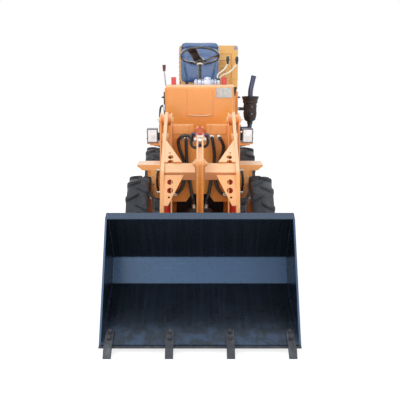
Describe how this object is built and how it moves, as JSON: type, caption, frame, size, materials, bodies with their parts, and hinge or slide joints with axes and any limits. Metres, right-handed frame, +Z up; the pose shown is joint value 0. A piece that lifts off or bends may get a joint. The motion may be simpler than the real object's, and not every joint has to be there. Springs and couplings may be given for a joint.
{
  "type": "wheel loader",
  "caption": "Open-station compact wheel loader, hinged in the middle, with a toothed bucket on Z-bar arms, lugged tyres and a seat before the engine hood.",
  "frame": {"origin": "on the ground, at the centre of the machine's length and width", "axes": "+Z up, the bucket points along -Y, +X is the machine's left"},
  "size_m": [1.2, 3.7757, 1.8698],
  "materials": {
    "alloy": "satin",
    "bare_steel": "satin",
    "bucket_paint": "semi-gloss",
    "column_paint": "semi-gloss",
    "cylinder_red": "semi-gloss",
    "dark_paint": "satin",
    "hose_rubber": "satin",
    "knob": "gloss",
    "lamp_glass": "clear",
    "orange_paint": "semi-gloss",
    "pipe_steel": "satin",
    "rim_paint": "semi-gloss",
    "rod_chrome": "polished",
    "rubber": "matt",
    "seat_cover": "gloss",
    "soot": "matt",
    "wheel_plastic": "satin"
  },
  "bodies": {
    "rear_frame": {"rear_frame": "orange_paint", "pivot_pin": "bare_steel", "rear_axle": "dark_paint", "tub": "orange_paint", "floor": "orange_paint", "fuel_tank": "orange_paint", "hydraulic_tank": "orange_paint", "cowl": "orange_paint", "controls": "alloy", "floor_controls": "knob", "steering_column": "column_paint", "lower_body": "orange_paint", "engine": "dark_paint", "seat_cushion": "seat_cover", "seat_back": "seat_cover", "seat_frame": "dark_paint", "hood": "orange_paint", "cabinet": "orange_paint", "muffler": "soot", "exhaust_pipes": "pipe_steel", "counterweight": "dark_paint"},
    "front_frame": {"tower_plates": "orange_paint", "front_box": "orange_paint", "front_hinge": "orange_paint", "front_axle": "dark_paint", "front_fenders": "orange_paint", "headlamps": "dark_paint", "lamp_lenses": "lamp_glass", "front_hoses": "hose_rubber", "frame_pins": "bare_steel"},
    "arms": {"arm_left": "orange_paint", "arm_right": "orange_paint", "cross_beam": "orange_paint", "gussets": "orange_paint", "bucket_pins": "bare_steel", "crank_pin": "bare_steel"},
    "bucket": {"bucket_shell": "bucket_paint", "bucket_cheeks": "bucket_paint", "cutting_edge": "bucket_paint", "bucket_teeth": "bucket_paint", "bucket_ears": "bucket_paint"},
    "bell_crank": {"bell_crank": "orange_paint", "link_pin": "bare_steel"},
    "link": {"link": "orange_paint"},
    "lift_barrels": {"lift_barrels": "cylinder_red"},
    "lift_rods": {"lift_rods": "rod_chrome"},
    "tilt_barrel": {"tilt_barrel": "cylinder_red"},
    "tilt_rod": {"tilt_rod": "rod_chrome"},
    "steer_barrel": {"steer_barrel": "cylinder_red"},
    "steer_rod": {"steer_rod": "rod_chrome"},
    "steering_wheel": {"steering_wheel": "wheel_plastic"},
    "cabinet_door": {"cabinet_door": "orange_paint"},
    "wheel_front_left": {"tyre_front_left": "rubber", "rim_front_left": "rim_paint"},
    "wheel_rear_left": {"tyre_rear_left": "rubber", "rim_rear_left": "rim_paint"},
    "wheel_front_right": {"tyre_front_right": "rubber", "rim_front_right": "rim_paint"},
    "wheel_rear_right": {"tyre_rear_right": "rubber", "rim_rear_right": "rim_paint"}
  },
  "joints": [
    {"name": "articulation", "type": "hinge", "parent": "rear_frame", "child": "front_frame", "pos_m": [0, 0.40793, 0.5], "axis": [0, 0, 1], "range_deg": [-35, 35]},
    {"name": "arm_lift", "type": "hinge", "parent": "front_frame", "child": "arms", "pos_m": [0, -0.32207, 1.22], "axis": [-1, 0, 0], "range_deg": [0, 75]},
    {"name": "bucket_tilt", "type": "hinge", "parent": "arms", "child": "bucket", "pos_m": [0, -1.08207, 0.38], "axis": [1, 0, 0], "range_deg": [-38, 96]},
    {"name": "crank_tilt", "type": "hinge", "parent": "arms", "child": "bell_crank", "pos_m": [0, -1.01207, 0.99], "axis": [-1, 0, 0], "range_deg": [-7.65, 17.8]},
    {"name": "link_tilt", "type": "hinge", "parent": "bell_crank", "child": "link", "pos_m": [0, -0.94207, 0.54], "axis": [1, 0, 0], "range_deg": [-23.04, 56.68]},
    {"name": "lift_barrel_swing", "type": "hinge", "parent": "front_frame", "child": "lift_barrels", "pos_m": [0, -0.51707, 0.42], "axis": [-1, 0, 0], "range_deg": [-10.07, 0]},
    {"name": "lift_rod_slide", "type": "slide", "parent": "lift_barrels", "child": "lift_rods", "axis": [0, 0.027, 0.9996], "range_m": [0, 0.336]},
    {"name": "tilt_barrel_swing", "type": "hinge", "parent": "front_frame", "child": "tilt_barrel", "pos_m": [0, -0.18207, 1.12], "axis": [-1, 0, 0], "range_deg": [0, 57.25]},
    {"name": "tilt_rod_slide", "type": "slide", "parent": "tilt_barrel", "child": "tilt_rod", "axis": [0, -0.9996, 0.0286], "range_m": [-0.036, 0.015]},
    {"name": "steer_barrel_swing", "type": "hinge", "parent": "rear_frame", "child": "steer_barrel", "pos_m": [-0.2, 0.63793, 0.5], "axis": [0, 0, 1], "range_deg": [-17.3, 17.3]},
    {"name": "steer_rod_slide", "type": "slide", "parent": "steer_barrel", "child": "steer_rod", "axis": [0.0658, -0.9978, 0], "range_m": [-0.113, 0.113]},
    {"name": "wheel_front_left_spin", "type": "hinge", "parent": "front_frame", "child": "wheel_front_left", "pos_m": [0.488, -0.37207, 0.385], "axis": [1, 0, 0], "continuous": true},
    {"name": "wheel_rear_left_spin", "type": "hinge", "parent": "rear_frame", "child": "wheel_rear_left", "pos_m": [0.488, 1.18793, 0.385], "axis": [1, 0, 0], "continuous": true},
    {"name": "wheel_front_right_spin", "type": "hinge", "parent": "front_frame", "child": "wheel_front_right", "pos_m": [-0.488, -0.37207, 0.385], "axis": [1, 0, 0], "continuous": true},
    {"name": "wheel_rear_right_spin", "type": "hinge", "parent": "rear_frame", "child": "wheel_rear_right", "pos_m": [-0.488, 1.18793, 0.385], "axis": [1, 0, 0], "continuous": true},
    {"name": "cabinet_door_swing", "type": "hinge", "parent": "rear_frame", "child": "cabinet_door", "pos_m": [0.334, 1.26053, 1.575], "axis": [0, 0, 1], "range_deg": [0, 100]},
    {"name": "steering_wheel_turn", "type": "hinge", "parent": "rear_frame", "child": "steering_wheel", "pos_m": [0, 0.51793, 1.718], "axis": [0, 0.4067, 0.9135], "continuous": true}
  ],
  "couplings": [
    {"joint": "crank_tilt", "follows": "bucket_tilt", "ratio": 0.175},
    {"joint": "link_tilt", "follows": "bucket_tilt", "ratio": 0.58},
    {"joint": "lift_barrel_swing", "follows": "arm_lift", "ratio": -0.121},
    {"joint": "lift_rod_slide", "follows": "arm_lift", "m_per_rad": 0.255},
    {"joint": "tilt_barrel_swing", "follows": "arm_lift", "ratio": 0.75},
    {"joint": "tilt_rod_slide", "follows": "bucket_tilt", "m_per_rad": -0.02},
    {"joint": "steer_barrel_swing", "follows": "articulation", "ratio": 0.46561},
    {"joint": "steer_rod_slide", "follows": "articulation", "m_per_rad": 0.18246}
  ]
}
